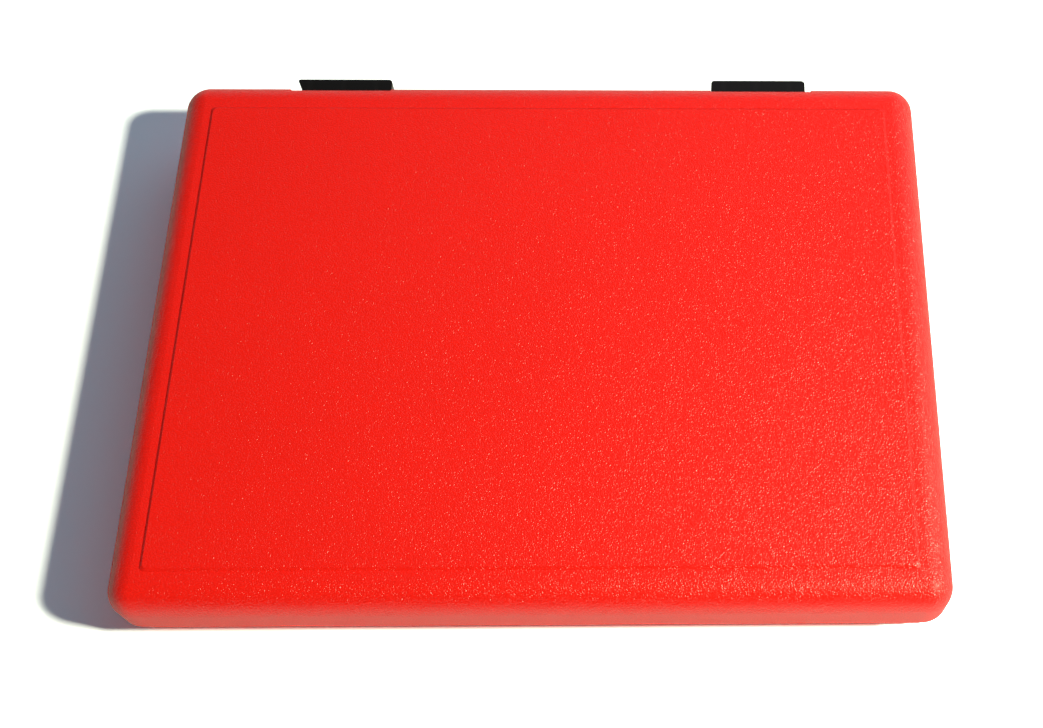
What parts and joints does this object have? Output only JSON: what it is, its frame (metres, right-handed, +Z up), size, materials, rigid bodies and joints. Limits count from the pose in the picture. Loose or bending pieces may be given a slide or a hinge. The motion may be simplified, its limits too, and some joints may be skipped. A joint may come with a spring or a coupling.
{
  "type": "fleet guessing case",
  "caption": "Closed flat plastic game case with round edges, a raised lid panel and two rear hinges; inside, peg-hole panels, a ship rack and a peg tray.",
  "frame": {"origin": "middle of the underside's flat foot panel, on the table", "axes": "+X along the case to the player's right, +Y from the front to the hinges, +Z up"},
  "size_m": [0.33, 0.2504, 0.0438],
  "materials": {
    "red_shell": "moulded leather grain",
    "black_hinge": "satin",
    "steel_pin": "drawn wire",
    "target_plastic": "satin",
    "ocean_plastic": "gloss",
    "bay_plastic": "satin",
    "ship_plastic": "satin",
    "white_peg": "gloss",
    "red_peg": "gloss",
    "screw_steel": "zinc plated"
  },
  "bodies": {
    "base": {"base_shell": "red_shell", "ocean_grid": "ocean_plastic", "ship_rack": "bay_plastic", "peg_tray": "bay_plastic", "base_screws": "screw_steel", "white_pegs": "white_peg", "red_pegs": "red_peg", "carrier": "ship_plastic", "battleship": "ship_plastic", "cruiser": "ship_plastic", "submarine": "ship_plastic", "destroyer": "ship_plastic", "hinge_base_leaf_left": "black_hinge", "hinge_base_leaf_right": "black_hinge", "hinge_pin_left": "steel_pin", "hinge_pin_right": "steel_pin"},
    "lid": {"lid_shell": "red_shell", "target_panel": "target_plastic", "lid_screws": "screw_steel", "hinge_lid_leaf_left": "black_hinge", "hinge_lid_leaf_right": "black_hinge"}
  },
  "joints": [
    {"name": "lid_hinge", "type": "hinge", "parent": "base", "child": "lid", "pos_m": [0, 0.124, 0.0195], "axis": [-1, 0, 0], "range_deg": [0, 110]}
  ]
}
